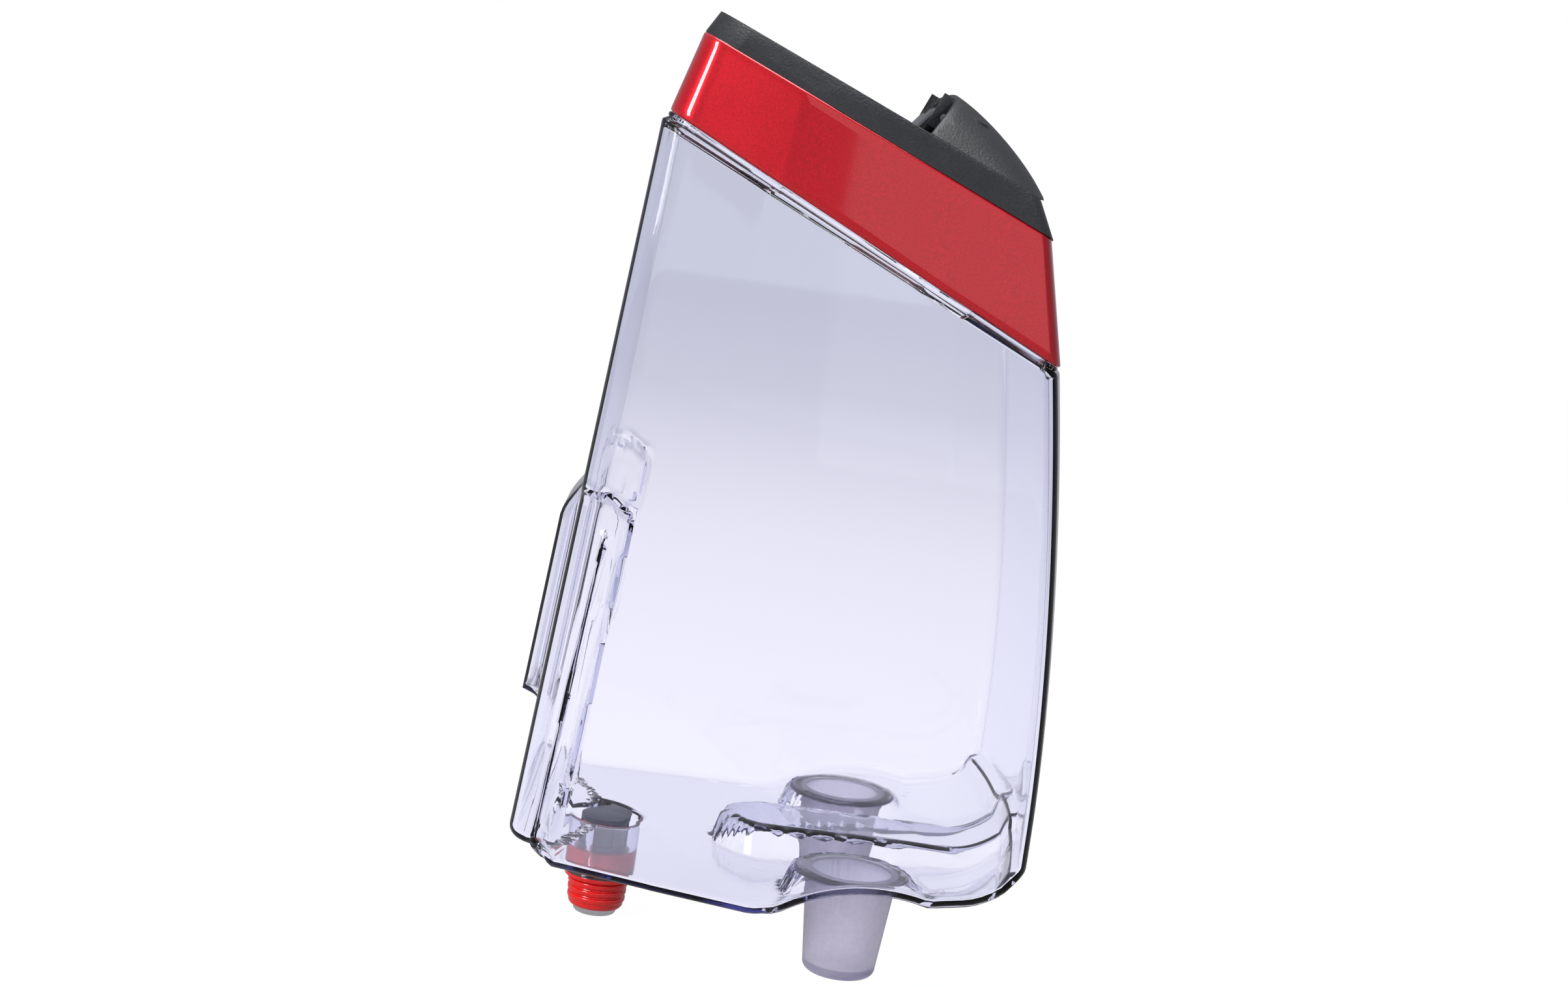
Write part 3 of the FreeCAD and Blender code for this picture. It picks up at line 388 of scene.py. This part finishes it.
def wallPoint(entry, z):
    share, y, bowed = entry
    back = tank["backFoot"][0] + tank["backLean"] * (z - tank["backFoot"][1])
    front = tank["frontX"] - tank["frontBend"] * max(z - tank["frontBendZ"], 0) ** tank["frontPower"]
    return Vector((back + share * (front - back) + bowed * tank["bow"], y, z))


def floorHeight(x, y):
    shape = floorShape
    side = abs(y)
    if x < shape["foldX"]:
        height = shape["backZ"] + shape["backSlope"] * (x - shape["backX"])
    else:
        height = shape["foldZ"] + shape["frontSlope"] * (x - shape["foldX"])
    if x > shape["wingX"]:
        wing = (side - tank["halfWidth"]) * shape["wingRise"] + (x - shape["wingX"]) * shape["wingClimb"]
        height = max(height, shape["wingZ"] + wing)
    chord = shape["archRadius"] ** 2 - (x - shape["archX"]) ** 2
    if chord > 0:
        arch = shape["archZ"] + math.sqrt(chord) - (tank["halfWidth"] - side) * shape["archTilt"]
        height = max(height, arch)
    seat = smooth(*shape["seatFade"], math.hypot(x - shape["pegX"], side - shape["pegY"]))
    height += (shape["seatZ"] - height) * seat
    if x > shape["grooveFrom"]:
        inGroove = smooth(*shape["grooveFade"], math.hypot(max(shape["grooveX"] - x, 0), side))
        height += (max(shape["grooveZ"], height) - height) * inGroove
    height += shape["noseBend"] * max(x - shape["noseX"], 0) ** 2
    return height + shape["heelRise"] * smooth(*shape["heel"], x)


def slotPull(x, z, side):  # how far the guide slot at a back corner draws the wall in
    edge = guideSlot["edge"][0] + (z - guideSlot["edge"][1]) * guideSlot["edgeLean"]
    fade, topFade = guideSlot["edgeFade"], guideSlot["topFade"]
    top = guideSlot["topZ"] - guideSlot["topDrop"] * smooth(edge - guideSlot["topRun"], edge, x)
    inside = smooth(edge + fade, edge - fade, x) * smooth(top + topFade, top - topFade, z)
    rib = smooth(*guideSlot["ribHalf"], abs(x - edge + guideSlot["ribIn"])) * smooth(*guideSlot["ribTop"], z)
    return (guideSlot["depth"] - guideSlot["ribDepth"] * rib) * inside * smooth(*guideSlot["side"], side)


def foldPull(x, z, side):  # how far the lower side wall under the fold leans in
    startX, startZ = fold["back"]
    turnX, turnZ = fold["turn"]
    line = startZ + (x - startX) * fold["backSlope"] if x < turnX else turnZ + (x - turnX) * fold["turnSlope"]
    return min(max(line - z, 0) * fold["lean"], fold["most"]) * smooth(*fold["side"], side)


def hookReach(y, z):
    return hook["reach"] * smooth(*hook["side"], abs(y)) * smooth(*hook["ramp"], z) * smooth(*hook["foot"], z)


def shapedWall(entry, z):
    point = wallPoint(entry, z)
    side = abs(point.y)
    if side > guideSlot["side"][0]:
        pull = max(slotPull(point.x, z, side), foldPull(point.x, z, side))
        point.y -= math.copysign(pull, point.y)
    if entry[0] == 0:
        point.x -= hookReach(point.y, z)
    return point


def inward(points):  # level unit vectors from a ring towards its inside
    made = []
    for index in range(len(points)):
        along = points[(index + 1) % len(points)] - points[index - 1]
        made.append(Vector((along.y, -along.x, 0)).normalized())
    if made[0].x < 0:
        made = [-way for way in made]
    return made


def shoulderHeight(entry):  # where the wall meets the sloped shoulder, found by closing in on it
    backX, backZ = tank["shoulderBack"]
    z = backZ
    for _ in range(9):
        z = backZ + tank["shoulderSlope"] * (wallPoint(entry, z).x - backX)
    return z - tank["shoulderDrop"]


def tankRings():
    tops = [shoulderHeight(entry) for entry in outline]
    feet = []
    for entry in outline:
        foot = shapedWall(entry, tank["footZ"])
        feet.append(floorHeight(foot.x, foot.y) + tank["edgeRound"])
    rings = [deckRing(collar["high"], tank["rimInset"], tank["rimLift"])]
    rings += [deckRing(collar["low"], inset, lift) for inset, lift in rimProfiles["flange"]]
    shoulder = [wallPoint(entry, z) for entry, z in zip(outline, tops)]
    ways = inward(shoulder)
    for inset, lift in rimProfiles["shoulder"]:
        rings.append([point + way * inset + Vector((0, 0, lift)) for point, way in zip(shoulder, ways)])
    for row in range(tank["wallRows"] + 1):
        share = row / tank["wallRows"]
        rings.append([shapedWall(entry, top + (foot - top) * share)
                      for entry, top, foot in zip(outline, tops, feet)])
    foot = rings[-1]
    ways = inward(foot)
    for step in range(1, tank["edgeSteps"] + 1):
        angle = math.radians(90 * step / tank["edgeSteps"])
        across, down = (1 - math.cos(angle)) * tank["edgeRound"], math.sin(angle) * tank["edgeRound"]
        rings.append([point + way * across - Vector((0, 0, down)) for point, way in zip(foot, ways)])
    edge = rings[-1]
    for step in range(1, tank["floorRows"] + 1):
        ring = []
        for point in edge:
            far = Vector((point.x, point.y, 0))
            spot = far.lerp(far.normalized() * (neck["radius"] + neck["flare"]), step / tank["floorRows"])
            spot.z = floorHeight(spot.x, spot.y)
            ring.append(spot)
        rings.append(ring)
    mouth = [Vector((point.x, point.y, 0)).normalized() for point in rings[-1]]
    for wider, drop in neck["profile"]:
        rings.append([way * (neck["radius"] + wider) + Vector((0, 0, neck["topZ"] - drop)) for way in mouth])
    return rings


def makeTank():
    skin = addPiece("tankSkin", ringSkin(tankRings()), clear, sharp=60)
    wall = skin.modifiers.new("wall", "SOLIDIFY")
    wall.thickness = tank["wall"] * mm
    wall.offset = -1
    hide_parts("tank_shell", "collar_gasket")


def makeCollar():
    low, high, edge, wall, rows = (collar[key] for key in ("low", "high", "edge", "wall", "rows"))
    near = edge * collar["edgeMiddle"]
    bottom, top = deckRing(low, 0, edge), deckRing(high, 0, -edge)
    rings = [deckRing(low, wall, 0), deckRing(low, edge, 0), deckRing(low, near, near), bottom]
    rings += [[a.lerp(b, row / rows) for a, b in zip(bottom, top)] for row in range(1, rows)]
    rings += [top, deckRing(high, near, -near), deckRing(high, edge, 0), deckRing(high, wall, 0)]
    band = addPiece("collarBandSkin", ringSkin(rings, closed=True), red, sharp=50)
    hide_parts("collar_band")


makeTank()
makeCollar()
print("tank and collar made")

softCopies = {  # node: material, body, edge radius in millimetres, slot
    "top_cover": (black, "tank", 0.5, "black_cover"),
    "grip_hood": (black, "tank", 0.5, "black_cover"),
    "release_lever": (glossBlack, "lever", 0.5, "black_lever"),
    "release_pusher": (glossBlack, "pusher", 0.3, "black_lever"),
    "fill_lid": (black, "lid", 0.4, "black_cover"),
    "lid_seal": (rubber, "lid", 0, "seal_rubber"),
    "docking_peg_left": (frosted, "tank", 0.3, "frosted_peg"),
    "docking_peg_right": (frosted, "tank", 0.3, "frosted_peg"),
    "valve_housing": (valveRed, "tank", 0.25, "red_valve"),
    "valve_tip_ring": (chrome, "tank", 0.3, "chrome_tip"),
    "valve_plunger": (grey, "plunger", 0.2, "strainer_grey"),
    "plunger_seal": (rubber, "plunger", 0, "seal_rubber"),
    "strainer_frame": (grey, "tank", 0.2, "strainer_grey"),
    "spring_retainer": (grey, "tank", 0.2, "strainer_grey"),
    "vent_guard": (ventGrey, "tank", 0.2, "vent_grey"),
    "vent_flap": (rubber, "tank", 0, "seal_rubber"),
}
bareNodes = {
    "hood_screws": steel, "lever_pin": steel, "lever_spring": steel, "lid_pin": steel,
    "valve_gasket": rubber, "strainer_screen": grey,
}


def makeValveSpring():  # a soft copy of the spring with its own mesh
    spring = softCopy("valve_spring", steel, "tank", edge=0, sharp=60)
    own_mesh(spring)


for node, (material, body, edge, slot) in softCopies.items():
    softCopy(node, material, body, edge)
makeValveSpring()
for node, material in bareNodes.items():
    nodes[node].data.materials.clear()
    nodes[node].data.materials.append(material)
print("CAD nodes dressed")


def makeCamera():
    azimuth, elevation, roll = (math.radians(camera[key]) for key in ("azimuth", "elevation", "roll"))
    level, rise = math.cos(elevation), math.sin(elevation)
    back = Vector((math.sin(azimuth) * level, -math.cos(azimuth) * level, rise))
    flat = Vector((math.cos(azimuth), math.sin(azimuth), 0))
    upright = Vector((-math.sin(azimuth) * rise, math.cos(azimuth) * rise, level))
    right = flat * math.cos(roll) + upright * math.sin(roll)
    up = upright * math.cos(roll) - flat * math.sin(roll)
    data = bpy.data.cameras.new("camera")
    data.lens = camera["lens"]
    data.sensor_width = camera["sensor"]
    eye = bpy.data.objects.new("camera", data)
    place = Matrix((right, up, back)).transposed().to_4x4()
    place.translation = (Vector(camera["target"]) + back * camera["distance"]) * mm
    eye.matrix_world = place
    scene.collection.objects.link(eye)
    scene.camera = eye


def makeLight(name, place, size, power):
    data = bpy.data.lights.new(name, "AREA")
    data.shape = "RECTANGLE"
    data.size, data.size_y = size
    data.energy = power
    lamp = bpy.data.objects.new(name, data)
    lamp.location = place
    lamp.rotation_euler = (Vector(studio["aim"]) - Vector(place)).to_track_quat("-Z", "Y").to_euler()
    scene.collection.objects.link(lamp)


def skyTree(tree):  # white behind the object, a grey gradient of painted shade seen only through clear walls, and a dim room in reflections
    link = tree.links.new
    tree.nodes.clear()
    out = put(tree, "ShaderNodeOutputWorld", 600, 0)
    background = put(tree, "ShaderNodeBackground", 400, 0)
    where = put(tree, "ShaderNodeTexCoord", -900, 0)
    parts = put(tree, "ShaderNodeSeparateXYZ", -700, 0)
    height = put(tree, "ShaderNodeMapRange", -500, 0)
    height.inputs["From Min"].default_value = -1
    # painted shade: only transmission rays see this grey, which greys the clear walls
    through = rampOf(tree, studio["shadeThroughGlass"], -300, 200)
    room = rampOf(tree, studio["room"], -300, -100)
    path = put(tree, "ShaderNodeLightPath", -300, 500)
    seen = put(tree, "ShaderNodeMix", 0, 100, data_type="RGBA")
    white = put(tree, "ShaderNodeMix", 200, 0, data_type="RGBA")
    white.inputs["B"].default_value = (1, 1, 1, 1)
    link(where.outputs["Generated"], parts.inputs[0])
    link(parts.outputs["Z"], height.inputs["Value"])
    link(height.outputs[0], through.inputs[0])
    link(height.outputs[0], room.inputs[0])
    link(path.outputs["Is Transmission Ray"], seen.inputs["Factor"])
    link(room.outputs[0], seen.inputs["A"])
    link(through.outputs[0], seen.inputs["B"])
    link(path.outputs["Is Camera Ray"], white.inputs["Factor"])
    link(seen.outputs["Result"], white.inputs["A"])
    link(white.outputs["Result"], background.inputs["Color"])
    link(background.outputs[0], out.inputs["Surface"])


def paleFloor():
    material, tree = newMaterial("paleFloor")
    principled, out = shader(tree, Base_Color=(*studio["floorBase"], 1), Roughness=0.9,
                             Specular_IOR_Level=0.0, Emission_Strength=1.0)
    link = tree.links.new
    where = put(tree, "ShaderNodeTexCoord", -900, 0)
    reach = put(tree, "ShaderNodeVectorMath", -700, 0, operation="LENGTH")
    spread = put(tree, "ShaderNodeMapRange", -500, 0)
    spread.inputs["From Min"].default_value = studio["floorNear"]
    spread.inputs["From Max"].default_value = studio["floorFar"]
    # painted shade: transmission rays see the floor grey with distance, which greys the clear walls
    far = rampOf(tree, studio["floor"], -300, 0)
    path = put(tree, "ShaderNodeLightPath", -300, 400)
    seen = put(tree, "ShaderNodeMix", 0, 0, data_type="RGBA")
    seen.inputs["A"].default_value = (*studio["floorBounce"], 1)
    plain = put(tree, "ShaderNodeMix", 150, 0, data_type="RGBA")
    plain.inputs["B"].default_value = (*studio["floorSeen"], 1)
    link(where.outputs["Object"], reach.inputs[0])
    link(reach.outputs["Value"], spread.inputs["Value"])
    link(spread.outputs[0], far.inputs[0])
    link(path.outputs["Is Transmission Ray"], seen.inputs["Factor"])
    link(far.outputs[0], seen.inputs["B"])
    link(path.outputs["Is Camera Ray"], plain.inputs["Factor"])
    link(seen.outputs["Result"], plain.inputs["A"])
    link(plain.outputs["Result"], principled.inputs["Emission Color"])
    return material


def makeFloor():
    bm = bmesh.new()
    bmesh.ops.create_grid(bm, x_segments=1, y_segments=1, size=studio["floorHalf"])
    bmesh.ops.translate(bm, verts=bm.verts, vec=(0, 0, -studio["floorDrop"]))
    mesh = bpy.data.meshes.new("floor")
    bm.to_mesh(mesh)
    bm.free()
    mesh.materials.append(paleFloor())
    floor = bpy.data.objects.new("floor", mesh)
    scene.collection.objects.link(floor)


def makeStudio():
    world = bpy.data.worlds.new("studio")
    world.use_nodes = True
    skyTree(world.node_tree)
    scene.world = world
    scene.view_settings.view_transform = "Standard"
    makeFloor()
    for name, (place, size, power) in studio["lights"].items():
        makeLight(name, place, size, power)


makeCamera()
makeStudio()
print("studio made")
